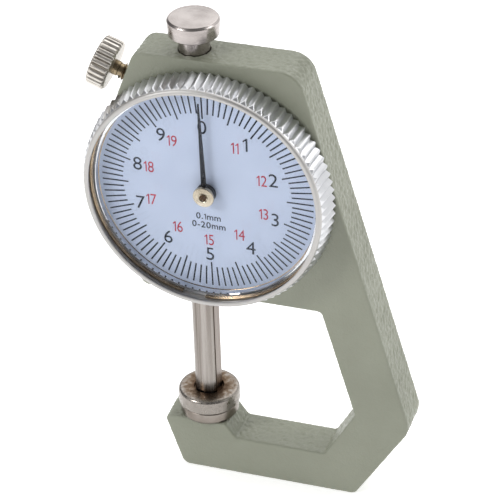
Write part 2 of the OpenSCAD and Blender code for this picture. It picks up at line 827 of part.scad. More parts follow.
module lock_pad() {
    color(brass) along_lock() intersection() {
        disc(pad_r, 0, pad_back);
        union() {
            translate([0, 0, pad_centre]) sphere(r = pad_dome_r);
            disc(pad_r, pad_centre, pad_back);
        }
    }
}

frame();
anvil();
lower_bush();
upper_bush();
back_bushes();
bridge_plate();
bridge_screws();
spring_post();
hairspring_stud();
bezel_wire();
plunger_rod();
contact_tip();
lift_knob();
spring_pin();
return_spring();
pinion_arbor();
pointer();
pointer_hub();
take_up_wheel();
take_up_arbor();
hairspring();
bezel();
dial_plate();
spacer_ring();
crystal();
snap_ring();
lock_screw();
lock_pad();
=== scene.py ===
"""Visual model of a dial thickness gauge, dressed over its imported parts.

Sizes are in millimetres unless a name says otherwise. Dial sizes are counted in the dial's own
frame: x right, y up, z out of the dial, with z = 0 in the middle plane of the casting.
"""

import json
import logging
import math
from dataclasses import dataclass
from enum import Enum
from typing import Callable, Sequence

import bmesh
import bpy
from mathutils import Matrix, Vector, noise


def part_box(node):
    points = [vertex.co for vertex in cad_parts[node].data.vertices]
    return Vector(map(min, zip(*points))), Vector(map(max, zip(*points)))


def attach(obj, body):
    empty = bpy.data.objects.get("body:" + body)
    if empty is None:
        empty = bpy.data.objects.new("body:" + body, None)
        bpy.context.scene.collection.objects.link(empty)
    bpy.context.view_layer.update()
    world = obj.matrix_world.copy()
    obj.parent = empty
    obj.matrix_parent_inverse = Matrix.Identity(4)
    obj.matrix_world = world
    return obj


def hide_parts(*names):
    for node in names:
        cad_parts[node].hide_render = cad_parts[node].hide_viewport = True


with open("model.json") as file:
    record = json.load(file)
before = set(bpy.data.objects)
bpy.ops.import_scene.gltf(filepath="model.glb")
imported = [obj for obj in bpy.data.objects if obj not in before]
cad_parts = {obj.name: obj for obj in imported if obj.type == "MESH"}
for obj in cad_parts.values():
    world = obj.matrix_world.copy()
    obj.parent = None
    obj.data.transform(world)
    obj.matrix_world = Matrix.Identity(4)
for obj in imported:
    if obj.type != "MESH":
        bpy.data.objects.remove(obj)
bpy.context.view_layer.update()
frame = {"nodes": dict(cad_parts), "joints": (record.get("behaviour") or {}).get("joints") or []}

LOG = logging.getLogger("gauge")
MM = 0.001
Point = tuple[float, float]
Colour = tuple[float, float, float]
Sockets = dict[str | int, object]


class Body(str, Enum):
    """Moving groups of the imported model."""

    FRAME = "frame"
    PLUNGER = "plunger"
    PINION = "pinion"
    BEZEL = "bezel"
    LOCK_SCREW = "lock_screw"


class Slot(str, Enum):
    """Finish slots of the record."""

    PAINT = "frame_paint"
    MEASURING = "measuring_steel"
    KNOB = "knob_steel"
    ALLOY = "bezel_alloy"
    ENAMEL = "dial_enamel"
    HUB = "hub_nickel"
    LOCK = "lock_nickel"
    WIRE = "snap_wire"


class Axis(Enum):
    """Which coordinates lie across a turned part's axis."""

    UPRIGHT = (1.0, 1.0, 0.0)
    DIAL = (1.0, 0.0, 1.0)


def linear(red: int, green: int, blue: int) -> Colour:
    """Turn a colour as seen on a screen into scene values.

    Args:
        red: Red share, 0 to 255.
        green: Green share, 0 to 255.
        blue: Blue share, 0 to 255.

    Returns:
        The three values in linear light.
    """
    def one(v: int) -> float:
        """Linear value of one share."""
        c = v / 255
        return c / 12.92 if c <= 0.04045 else ((c + 0.055) / 1.055) ** 2.4
    return one(red), one(green), one(blue)


def joint_of(name: str) -> dict[str, object]:
    """Return a packed joint."""
    return next(j for j in frame["joints"] if j["name"] == name)


# Frames in millimetres: upright, out of the dial, and out of the casting along the lock screw
UPRIGHT = Matrix.Scale(MM, 4)
DIAL_CENTRE = Vector(joint_of("bezel_turn")["pos_m"])
ON_DIAL = Matrix.Translation(DIAL_CENTRE) @ Matrix.Rotation(math.radians(90), 4, "X") @ UPRIGHT
LOCK_JOINT = joint_of("lock_turn")
OUTWARD = (-Vector(LOCK_JOINT["axis"])).to_track_quat("Z", "Y").to_matrix().to_4x4()
ON_LOCK = Matrix.Translation(LOCK_JOINT["pos_m"]) @ OUTWARD @ UPRIGHT


def front_of(node: str) -> float:
    """Return the height of a node's front above the middle plane."""
    return -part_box(node)[0].y / MM


def back_of(node: str) -> float:
    """Return the height of a node's back above the middle plane."""
    return -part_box(node)[1].y / MM


class Surface:
    """One procedural material, built from object coordinates."""

    def __init__(self, name: str, sockets: Sockets) -> None:
        """Start the material.

        Args:
            name: Name of the material.
            sockets: Plain values of the shader, by socket name.
        """
        self.material = bpy.data.materials.new(name)
        self.material.use_nodes = True
        self.tree = self.material.node_tree
        self.shader = next(n for n in self.tree.nodes if n.type == "BSDF_PRINCIPLED")
        self.place = self.tree.nodes.new("ShaderNodeTexCoord").outputs["Object"]
        for key, value in sockets.items():
            self.shader.inputs[key].default_value = value

    def add(self, kind: str, links: Sockets, **settings: object) -> bpy.types.Node:
        """Add a node.

        Args:
            kind: Type of the node.
            links: Values or sockets for its inputs, by name or number.
            settings: Properties of the node.

        Returns:
            The new node.
        """
        node = self.tree.nodes.new(kind)
        for key, value in settings.items():
            setattr(node, key, value)
        for key, value in links.items():
            if isinstance(value, bpy.types.NodeSocket):
                self.tree.links.new(value, node.inputs[key])
            else:
                node.inputs[key].default_value = value
        return node

    def grain(self, stretch: Sequence[float], detail: float = 3.0) -> bpy.types.NodeSocket:
        """Soft random pattern.

        Args:
            stretch: Patches to the millimetre along each axis.
            detail: Finer layers added to the pattern.

        Returns:
            The pattern's strength.
        """
        size = [s / MM for s in stretch]
        mapped = self.add("ShaderNodeMapping", {"Vector": self.place, "Scale": size})
        links = {"Vector": mapped.outputs[0], "Scale": 1.0, "Detail": detail}
        return self.add("ShaderNodeTexNoise", links).outputs[0]

    def radius(self, centre: Sequence[float], axis: Axis) -> bpy.types.NodeSocket:
        """Distance from a turned part's axis.

        Args:
            centre: A point on the axis, in metres.
            axis: Coordinates across the axis.

        Returns:
            The distance, in metres.
        """
        shift = [-c * m for c, m in zip(centre, axis.value)]
        links = {"Vector": self.place, "Scale": axis.value, "Location": shift}
        flat = self.add("ShaderNodeMapping", links)
        return self.add("ShaderNodeVectorMath", {0: flat.outputs[0]}, operation="LENGTH").outputs["Value"]

    def rings(self, centre: Sequence[float], axis: Axis, count: float) -> bpy.types.NodeSocket:
        """Fine rings round a turned part's axis.

        Args:
            centre: A point on the axis, in metres.
            axis: Coordinates across the axis.
            count: Rings to the millimetre.

        Returns:
            The rings' strength.
        """
        links = {"W": self.radius(centre, axis), "Scale": count / MM, "Detail": 2.0}
        return self.add("ShaderNodeTexNoise", links, noise_dimensions="1D").outputs[0]

    def cells(self, per_mm: float) -> bpy.types.NodeSocket:
        """Rounded cells with creases between them, so many to the millimetre."""
        links = {"Vector": self.place, "Scale": per_mm / MM, "Smoothness": 0.35}
        return self.add("ShaderNodeTexVoronoi", links, feature="SMOOTH_F1").outputs[0]

    def span(self, source: bpy.types.NodeSocket, old: Point, new: Point) -> bpy.types.NodeSocket:
        """Stretch a pattern from one span of values to another.

        Args:
            source: Pattern.
            old: Values taken from the pattern.
            new: Values they become.

        Returns:
            The stretched pattern.
        """
        links = {0: source, 1: old[0], 2: old[1], 3: new[0], 4: new[1]}
        return self.add("ShaderNodeMapRange", links).outputs[0]

    def shades(self, source: bpy.types.NodeSocket, stops: Sequence[tuple[float, Colour]]) -> None:
        """Colour the surface by a pattern.

        Args:
            source: Pattern.
            stops: Strengths of the pattern with their colours.
        """
        ramp = self.add("ShaderNodeValToRGB", {0: source})
        while len(ramp.color_ramp.elements) < len(stops):
            ramp.color_ramp.elements.new(0.5)
        for element, (at, colour) in zip(ramp.color_ramp.elements, stops):
            element.position = at
            element.color = (*colour, 1.0)
        self.feed("Base Color", ramp.outputs[0])

    def feed(self, socket: str, source: bpy.types.NodeSocket) -> None:
        """Join a pattern to one of the shader's sockets."""
        self.tree.links.new(source, self.shader.inputs[socket])

    def relief(self, source: bpy.types.NodeSocket, depth: float, strength: float = 1.0) -> None:
        """Raise the surface by a pattern, on top of any relief it has.

        Args:
            source: Pattern.
            depth: Height of the pattern.
            strength: Share of the relief that shows.
        """
        links: Sockets = {"Height": source, "Distance": depth * MM, "Strength": strength}
        earlier = self.shader.inputs["Normal"].links
        if earlier:
            links["Normal"] = earlier[0].from_socket
        self.feed("Normal", self.add("ShaderNodeBump", links).outputs[0])


@dataclass(frozen=True)
class WrinklePaint:
    """Thick grey-green paint over a casting."""

    low: Colour = linear(131, 134, 118)
    high: Colour = linear(142, 145, 129)
    rough: Point = (0.3, 0.46)
    flat_from: Point = (3.4, 3.95)
    cells: float = 0.95

    def make(self, name: str) -> bpy.types.Material:
        """Build the paint with leather-like cells and a fine grain.

        Args:
            name: Name of the material.

        Returns:
            The material.
        """
        s = Surface(name, {"Specular IOR Level": 0.5})
        cloud = s.grain((0.06, 0.06, 0.06), 4.0)
        fine = s.grain((2.6, 2.6, 2.6), 3.0)
        s.shades(cloud, [(0.3, self.low), (0.7, self.high)])
        s.feed("Roughness", s.span(fine, (0.3, 0.7), self.rough))
        depth = s.add("ShaderNodeSeparateXYZ", {0: s.place}).outputs[1]
        away = s.add("ShaderNodeMath", {0: depth}, operation="ABSOLUTE").outputs[0]
        sides = s.span(away, tuple(d * MM for d in self.flat_from), (1.0, 0.12))
        humps = s.span(s.cells(self.cells), (0.0, 0.75), (1.0, 0.0))
        both = s.add("ShaderNodeMath", {0: humps, 1: sides}, operation="MULTIPLY").outputs[0]
        s.relief(both, 0.11, 0.7)
        s.relief(fine, 0.09, 0.9)
        return s.material


@dataclass(frozen=True)
class TurnedMetal:
    """Bright metal with fine turning rings and faint stains."""

    low: Colour
    high: Colour
    rough: Point = (0.16, 0.34)
    axis: Axis = Axis.UPRIGHT
    centre: tuple[float, float, float] = (0.0, 0.0, 0.0)
    count: float = 9.0
    depth: float = 0.012

    def make(self, name: str) -> bpy.types.Material:
        """Build the metal with rings round its axis.

        Args:
            name: Name of the material.

        Returns:
            The material.
        """
        s = Surface(name, {"Metallic": 1.0})
        cloud = s.grain((0.25, 0.25, 0.25), 5.0)
        rings = s.rings(self.centre, self.axis, self.count)
        s.shades(cloud, [(0.32, self.low), (0.62, self.high)])
        s.feed("Roughness", s.span(rings, (0.3, 0.7), self.rough))
        s.relief(rings, self.depth, 0.6)
        return s.material


@dataclass(frozen=True)
class RimmedMetal:
    """Bright ridges round a satin lip."""

    ridge: Colour
    satin: Colour
    centre: tuple[float, float, float]
    lip_r: float = 20.97
    rough: Point = (0.29, 0.5)

    def make(self, name: str) -> bpy.types.Material:
        """Build the metal, rougher inside the lip's radius.

        Args:
            name: Name of the material.

        Returns:
            The material.
        """
        s = Surface(name, {"Metallic": 1.0})
        radius = s.radius(self.centre, Axis.DIAL)
        lip = s.span(radius, ((self.lip_r - 0.04) * MM, (self.lip_r + 0.02) * MM), (0.8, 0.0))
        cloud = s.span(s.grain((0.25, 0.25, 0.25), 5.0), (0.3, 0.7), (0.0, 0.2))
        both = s.add("ShaderNodeMath", {0: lip, 1: cloud}, operation="ADD").outputs[0]
        worn = tuple(0.86 * c for c in self.ridge)
        s.shades(both, [(0.0, worn), (0.2, self.ridge), (0.8, self.satin), (1.0, self.satin)])
        s.feed("Roughness", s.span(both, (0.0, 1.0), self.rough))
        s.relief(s.rings(self.centre, Axis.DIAL, 9.0), 0.002, 0.6)
        return s.material


@dataclass(frozen=True)
class StainedMetal:
    """Ground steel with a brown stain round the rod that stands in it."""

    steel: Colour
    worn: Colour
    stain: Colour
    inner_r: float
    outer_r: float
    rough: Point = (0.2, 0.45)

    def make(self, name: str) -> bpy.types.Material:
        """Build the steel with its stain and small pits.

        Args:
            name: Name of the material.

        Returns:
            The material.
        """
        s = Surface(name, {"Metallic": 1.0})
        radius = s.radius((0.0, 0.0, 0.0), Axis.UPRIGHT)
        near = s.span(radius, (self.inner_r * MM, self.outer_r * MM), (0.95, 0.1))
        patches = s.grain((1.5, 1.5, 1.5), 6.0)
        both = s.add("ShaderNodeMath", {0: near, 1: patches}, operation="MULTIPLY").outputs[0]
        s.shades(both, [(0.12, self.steel), (0.28, self.worn), (0.46, self.stain)])
        s.feed("Roughness", s.span(patches, (0.35, 0.65), self.rough))
        s.relief(patches, 0.015, 0.5)
        return s.material
# Bring the scene's positions up to date.


@dataclass(frozen=True)
class GroundMetal:
    """Metal with long fine streaks in one direction."""

    low: Colour
    high: Colour
    stretch: tuple[float, float, float] = (6.0, 6.0, 0.05)
    rough: Point = (0.2, 0.42)
    depth: float = 0.008

    def make(self, name: str) -> bpy.types.Material:
        """Build the metal with streaks along the direction of least stretch.

        Args:
            name: Name of the material.

        Returns:
            The material.
        """
        s = Surface(name, {"Metallic": 1.0})
        streaks = s.grain(self.stretch, 3.0)
        cloud = s.grain((0.3, 0.3, 0.12), 4.0)
        s.shades(cloud, [(0.3, self.low), (0.65, self.high)])
        s.feed("Roughness", s.span(streaks, (0.3, 0.7), self.rough))
        s.relief(streaks, self.depth, 0.6)
        return s.material


@dataclass(frozen=True)
class RodMetal:
    """Ground rod with long streaks, a painted dark shade line at the flat's edge and a flat painted darker as
    shade.
    """

    low: Colour
    high: Colour
    # line is a painted shade line at the flat's edge; the next colour paints the whole flat darker as shade
    line: Colour
    oily: Colour
    flat_x: float
    rough: Point = (0.18, 0.4)

    def make(self, name: str) -> bpy.types.Material:
        """Build the steel, coloured by streaks and by the distance across the rod.

        Args:
            name: Name of the material.

        Returns:
            The material.
        """
        s = Surface(name, {"Metallic": 1.0})
        streaks = s.grain((1.3, 1.3, 0.02), 4.0)
        fine = s.grain((6.0, 6.0, 0.05), 3.0)
        across = s.add("ShaderNodeSeparateXYZ", {0: s.place}).outputs[0]
        # Painted shade: a dark line along the flat's edge, then a darker flat in place of its bright reflection
        edge = s.span(across, ((self.flat_x - 0.14) * MM, (self.flat_x - 0.11) * MM), (0.0, 0.5))
        flat = s.span(across, ((self.flat_x - 0.03) * MM, (self.flat_x - 0.01) * MM), (0.0, 0.3))
        both = s.add("ShaderNodeMath", {0: edge, 1: flat}, operation="ADD").outputs[0]
        tone = s.span(streaks, (0.35, 0.65), (0.0, 0.2))
        whole = s.add("ShaderNodeMath", {0: both, 1: tone}, operation="ADD").outputs[0]
        s.shades(whole, [(0.0, self.low), (0.2, self.high), (0.48, self.line), (0.72, self.line),
                         (0.78, self.oily)])
        s.feed("Roughness", s.span(fine, (0.3, 0.7), self.rough))
        s.relief(fine, 0.008, 0.6)
        return s.material


@dataclass(frozen=True)
class Coat:
    """Thin paint or ink."""

    low: Colour
    high: Colour
    rough: Point = (0.32, 0.5)
    grain: float = 1.5
    depth: float = 0.006
    shine: float = 0.4

    def make(self, name: str) -> bpy.types.Material:
        """Build the coat with a slight mottle.

        Args:
            name: Name of the material.

        Returns:
            The material.
        """
        s = Surface(name, {"Specular IOR Level": self.shine})
        cloud = s.grain((self.grain, self.grain, self.grain), 3.0)
        s.shades(cloud, [(0.3, self.low), (0.7, self.high)])
        s.feed("Roughness", s.span(cloud, (0.3, 0.7), self.rough))
        s.relief(s.grain((14.0, 14.0, 14.0), 2.0), self.depth, 0.5)
        return s.material


@dataclass(frozen=True)
class ClearSheet:
    """Clear window that hardly shows but for its shine."""

    tint: Colour = linear(246, 249, 252)
    alpha: float = 0.05
    rough: Point = (0.02, 0.05)

    def make(self, name: str) -> bpy.types.Material:
        """Build the window with faint wiping marks.

        Args:
            name: Name of the material.

        Returns:
            The material.
        """
        s = Surface(name, {"Alpha": self.alpha, "IOR": 1.45, "Transmission Weight": 1.0})
        marks = s.grain((0.3, 0.3, 0.08), 4.0)
        s.shades(marks, [(0.3, self.tint), (0.7, linear(228, 236, 246))])
        s.feed("Roughness", s.span(marks, (0.3, 0.7), self.rough))
        return s.material


CENTRE = tuple(DIAL_CENTRE)
FLAT_X = 2.0  # distance of the rod's flat from its axis


class Finish(Enum):
    """Every finish on the gauge."""

    PAINT = WrinklePaint()
    ALLOY = RimmedMetal(linear(214, 215, 218), linear(184, 182, 180), CENTRE)
    SPACER = TurnedMetal(linear(200, 202, 206), linear(232, 233, 236), (0.015, 0.04), Axis.DIAL, CENTRE,
                         3.0, 0.001)
    KNOB = TurnedMetal(linear(154, 147, 144), linear(182, 175, 172), (0.2, 0.32))
    CONTACT = StainedMetal(linear(146, 140, 134), linear(112, 97, 82), linear(78, 60, 44), 2.6, 5.8)
    ANVIL = TurnedMetal(linear(118, 109, 101), linear(148, 141, 134), (0.22, 0.42))
    # The rod's third and fourth colours are painted shade: a dark line at the flat's edge and a darker flat
    ROD = RodMetal(linear(111, 103, 96), linear(166, 160, 155), linear(64, 51, 42), linear(112, 99, 90),
                   FLAT_X)
    HUB = TurnedMetal(linear(158, 148, 130), linear(196, 187, 170), (0.1, 0.2), Axis.DIAL, CENTRE)
    LOCK = GroundMetal(linear(182, 176, 168), linear(212, 207, 200), (2.0, 2.0, 2.0), (0.28, 0.42))
    THREAD = GroundMetal(linear(112, 98, 76), linear(158, 143, 117), (3.0, 3.0, 3.0), (0.22, 0.4))
    BRASS = GroundMetal(linear(186, 152, 92), linear(216, 184, 120), (4.0, 4.0, 0.6), (0.24, 0.42))
    SPRING = GroundMetal(linear(120, 120, 124), linear(158, 158, 162), (5.0, 5.0, 5.0), (0.22, 0.4))
    WIRE = GroundMetal(linear(150, 130, 106), linear(178, 158, 132), (0.3, 0.3, 0.3), (0.14, 0.22), 0.001)
    DARK = GroundMetal(linear(58, 44, 34), linear(88, 70, 54), (2.0, 2.0, 2.0), (0.3, 0.5))
    ENAMEL = Coat(linear(183, 195, 219), linear(190, 202, 225), (0.38, 0.5), 0.2)
    BLACK = Coat(linear(10, 11, 14), linear(22, 23, 28), (0.4, 0.55), shine=0.2)
    INK = Coat(linear(12, 14, 26), linear(22, 24, 38), (0.5, 0.65), shine=0.15)
    RED = Coat(linear(164, 12, 38), linear(180, 24, 48), (0.5, 0.65), shine=0.15)
    CLEAR = ClearSheet()

    def material(self) -> bpy.types.Material:
        """Return the finish's material, made at its first use."""
        found = bpy.data.materials.get(self.name.lower())
        return found or self.value.make(self.name.lower())


@dataclass(frozen=True)
class Tag:
    """Where a finished piece belongs."""

    name: str
    body: Body
    slot: Slot
    finish: Finish
    stands_for: tuple[str, ...] = ()
    sharp: float = 32.0


class Bench:
    """Shapes and hands over the pieces."""

    @staticmethod
    def mesh_of(bm: bmesh.types.BMesh, name: str) -> bpy.types.Mesh:
        """Turn a worked shape into a mesh and free it.

        Args:
            bm: Shape.
            name: Name of the mesh.

        Returns:
            The mesh.
        """
        mesh = bpy.data.meshes.new(name)
        bm.to_mesh(mesh)
        bm.free()
        return mesh

    @classmethod
    def deliver(cls, bm: bmesh.types.BMesh, tag: Tag, place: Matrix) -> bpy.types.Object:
        """Finish a piece and fix it to its body.

        Args:
            bm: Shape in its own millimetre frame.
            tag: Name, body and finish.
            place: Frame of the shape in the gauge.

        Returns:
            The finished object.
        """
        bmesh.ops.transform(bm, matrix=place, verts=bm.verts)
        bmesh.ops.recalc_face_normals(bm, faces=bm.faces)
        mesh = cls.mesh_of(bm, tag.name)
        mesh.shade_smooth()
        mesh.set_sharp_from_angle(angle=math.radians(tag.sharp))
        mesh.materials.append(tag.finish.material())
        piece = bpy.data.objects.new(tag.name, mesh)
        bpy.context.scene.collection.objects.link(piece)
        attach(piece, tag.body.value)
        if tag.stands_for:
            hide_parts(*tag.stands_for)
        LOG.info("%s: %d faces", tag.name, len(mesh.polygons))
        return piece

    @staticmethod
    def turned(profile: Sequence[Point], steps: int, closed: bool = False) -> bmesh.types.BMesh:
        """Turn a profile round the z axis.

        Args:
            profile: Radius and height of each point.
            steps: Steps in a full turn.
            closed: True where the profile comes back to its first point.

        Returns:
            The turned shape.
        """
        bm = bmesh.new()
        points = [bm.verts.new((r, 0.0, h)) for r, h in profile]
        ends = points[1:] + points[:1] if closed else points[1:]
        lines = [bm.edges.new(pair) for pair in zip(points, ends)]
        bmesh.ops.spin(bm, geom=points + lines, cent=(0, 0, 0), axis=(0, 0, 1), dvec=(0, 0, 0),
                       angle=2 * math.pi, steps=steps, use_merge=True, use_duplicate=False)
        bmesh.ops.remove_doubles(bm, verts=bm.verts, dist=1e-4)
        bmesh.ops.recalc_face_normals(bm, faces=bm.faces)
        return bm

    @staticmethod
    def rounded(profile: Sequence[Point], radius: float, steps: int = 3) -> list[Point]:
        """Round the corners of an open profile.

        Args:
            profile: Radius and height of each point.
            radius: Length taken off each side of a corner, at most 40 % of the side.
            steps: Steps round each corner.

        Returns:
            The rounded profile.
        """
        out = [profile[0]]
        for a, b, c in zip(profile, profile[1:], profile[2:]):
            pa, pb, pc = Vector(a), Vector(b), Vector(c)
            cut = min(radius, 0.4 * (pa - pb).length, 0.4 * (pc - pb).length)
            start = pb + (pa - pb).normalized() * cut
            end = pb + (pc - pb).normalized() * cut
            for i in range(steps + 1):
                t = i / steps
                out.append(tuple(start.lerp(pb, t).lerp(pb.lerp(end, t), t)))
        return out + [profile[-1]]

    @classmethod
    def joined(cls, parts: Sequence[bmesh.types.BMesh]) -> bmesh.types.BMesh:
        """Put several shapes into one.

        Args:
            parts: Shapes, which are freed.

        Returns:
            The whole.
        """
        whole = bmesh.new()
        for part in parts:
            whole.from_mesh(cls.mesh_of(part, "part"))
        return whole

    @staticmethod
    def node_copy(node: str) -> bmesh.types.BMesh:
        """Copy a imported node's mesh in millimetres, with its doubled points merged.

        Args:
            node: Name of the node.

        Returns:
            The copy.
        """
        bm = bmesh.new()
        bm.from_mesh(frame["nodes"][node].data)
        bmesh.ops.scale(bm, vec=(1 / MM,) * 3, verts=bm.verts)
        bmesh.ops.remove_doubles(bm, verts=bm.verts, dist=1e-3)
        return bm


def ridge(radius: float, angle: float, tip: float, root: float, count: int, soft: float) -> float:
    """Radius of a ridged edge.

    Args:
        radius: Radius of the plain shape.
        angle: Angle round the axis, in radians.
        tip: Radius at the ridges' tips.
        root: Radius at the grooves' bottoms.
        count: Ridges round the edge.
        soft: Softness of the ridges' edges.

    Returns:
        The radius with its groove.
    """
    part = (angle * count / (2 * math.pi)) % 1.0
    star = tip + (root - tip) * min(part, 1.0 - part) * 2
    low, gap = min(radius, star), abs(radius - star)
    return low - soft * math.log(1.0 + math.exp(-gap / soft))


@dataclass
class Casting:
    """Cast frame with its wrinkled sides, round boss and bores."""

    thickness: float = 8.0
    step: float = 0.26
    back_round: float = 0.5
    front_round: float = 0.35
    rows: int = 26
    wrinkle: float = 0.11
    wrinkle_size: float = 1.15
    rim_fade: float = 0.9
    boss_r: float = 19.2
    boss_h: float = 5.4
    pocket_r: float = 17.5
    floor_h: float = -2.7
    bore_r: float = 3.1
    neck_hole_r: float = 2.8
    seat_z: float = 10.45
    stem_r: float = 2.0
    stem_l: float = 5.0
    lock_r: float = 1.55
    bore_split: float = 60.0

    def outline(self) -> bmesh.types.BMesh:
        """Take the casting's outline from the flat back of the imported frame.

        Returns:
            One face, its edge cut into short steps.
        """
        bm = Bench.node_copy("frame")
        half = self.thickness / 2
        away = [f for f in bm.faces if abs(f.calc_center_median().y - half) > 1e-3]
        bmesh.ops.delete(bm, geom=away, context="FACES")
        bmesh.ops.dissolve_faces(bm, faces=bm.faces, use_verts=False)
        for cuts in range(1, 400):
            few = [e for e in bm.edges if math.ceil(e.calc_length() / self.step) == cuts + 1]
            if few:
                bmesh.ops.subdivide_edges(bm, edges=few, cuts=cuts)
        return bm

    def relief(self, at: Vector) -> float:
        """Height of the paint's wrinkles.

        Args:
            at: Point on the casting.

        Returns:
            The height there, from about -1 to 1.
        """
        bent = at / self.wrinkle_size + 0.35 * noise.noise_vector(at / (2 * self.wrinkle_size))
        near = noise.voronoi(bent)[0]
        hump = min(1.0, 1.7 * (near[1] - near[0]))
        return hump * (2.0 - hump) * 1.5 - 0.9 + 0.35 * noise.noise(at * 1.9)

    def body(self) -> bmesh.types.BMesh:
        """Raise the outline to the casting's thickness, round its rims and wrinkle its sides.

        Returns:
            The casting before its holes are cut.
        """
        bm = self.outline()
        back = bm.faces[:]
        made = bmesh.ops.extrude_face_region(bm, geom=back)["geom"]
        moved = [v for v in made if isinstance(v, bmesh.types.BMVert)]
        bmesh.ops.translate(bm, vec=(0, -self.thickness, 0), verts=moved)
        bmesh.ops.recalc_face_normals(bm, faces=bm.faces)
        half = self.thickness / 2
        for level, radius in ((half, self.back_round), (-half, self.front_round)):
            rim = [e for e in bm.edges if all(abs(v.co.y - level) < 1e-4 for v in e.verts)]
            bmesh.ops.bevel(bm, geom=rim, offset=radius, segments=4, profile=0.5, affect="EDGES",
                            material=-1, clamp_overlap=False)
        across = [e for e in bm.edges if abs(e.verts[0].co.y - e.verts[1].co.y) > 4.0]
        bmesh.ops.subdivide_edges(bm, edges=across, cuts=self.rows, use_grid_fill=True)
        bm.normal_update()
        moves = []
        for v in bm.verts:
            side = math.hypot(v.normal.x, v.normal.z)
            if side > 0.2:
                inside = max(0.25, min(1.0, (half - abs(v.co.y)) / self.rim_fade))
                moves.append((v, v.normal * self.relief(v.co) * self.wrinkle * inside * side))
        for v, move in moves:
            v.co += move
        bmesh.ops.triangulate(bm, faces=[f for f in bm.faces if len(f.verts) == 4])
        return bm

    def holes(self) -> list[tuple[str, Matrix, float, float, float]]:
        """List the round boss and the holes.

        Returns:
            How each acts, its frame, radius, low end and high end.
        """
        dial, lock = UPRIGHT.inverted() @ ON_DIAL, UPRIGHT.inverted() @ ON_LOCK
        up = Matrix.Identity(4)
        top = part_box("frame")[1].z / MM
        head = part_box("lower_bush")[0].z / MM
        return [
            ("UNION", dial, self.boss_r, 1.0, self.boss_h),
            ("DIFFERENCE", dial, self.pocket_r, self.floor_h, self.boss_h + 1),
            ("DIFFERENCE", up, self.bore_r, head - 1, self.bore_split),
            ("DIFFERENCE", up, self.bore_r, self.bore_split + 0.1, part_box("upper_bush")[1].z / MM),
            ("DIFFERENCE", up, self.neck_hole_r, self.bore_split + 0.2, top + 1),
            ("DIFFERENCE", up, self.stem_r, self.seat_z - self.stem_l, self.seat_z + 1),
            ("DIFFERENCE", lock, self.lock_r, 1.0, 20.0),
        ]

    def build(self) -> None:
        """Make the casting and hand it over.

        The boss and the holes are cut by modifiers, and the result is taken as a plain mesh.
        """
        work = bpy.data.objects.new("casting_work", Bench.mesh_of(self.body(), "casting_work"))
        bpy.context.scene.collection.objects.link(work)
        tools = []
        for act, place, radius, low, high in self.holes():
            bm = bmesh.new()
            bmesh.ops.create_cone(bm, cap_ends=True, segments=160, radius1=radius, radius2=radius,
                                  depth=high - low, matrix=Matrix.Translation((0, 0, (high + low) / 2)))
            bmesh.ops.transform(bm, matrix=place, verts=bm.verts)
            tool = bpy.data.objects.new("cutter", Bench.mesh_of(bm, "cutter"))
            bpy.context.scene.collection.objects.link(tool)
            tools.append(tool)
            cut = work.modifiers.new(act.lower(), "BOOLEAN")
            cut.operation = act
            cut.solver = "EXACT"
            cut.object = tool
        bpy.context.view_layer.update()
        bm = bmesh.new()
        bm.from_object(work, bpy.context.evaluated_depsgraph_get())
        for done in [work, *tools]:
            bpy.data.objects.remove(done)
        Bench.deliver(bm, Tag("casting", Body.FRAME, Slot.PAINT, Finish.PAINT, ("frame",), 40.0), UPRIGHT)


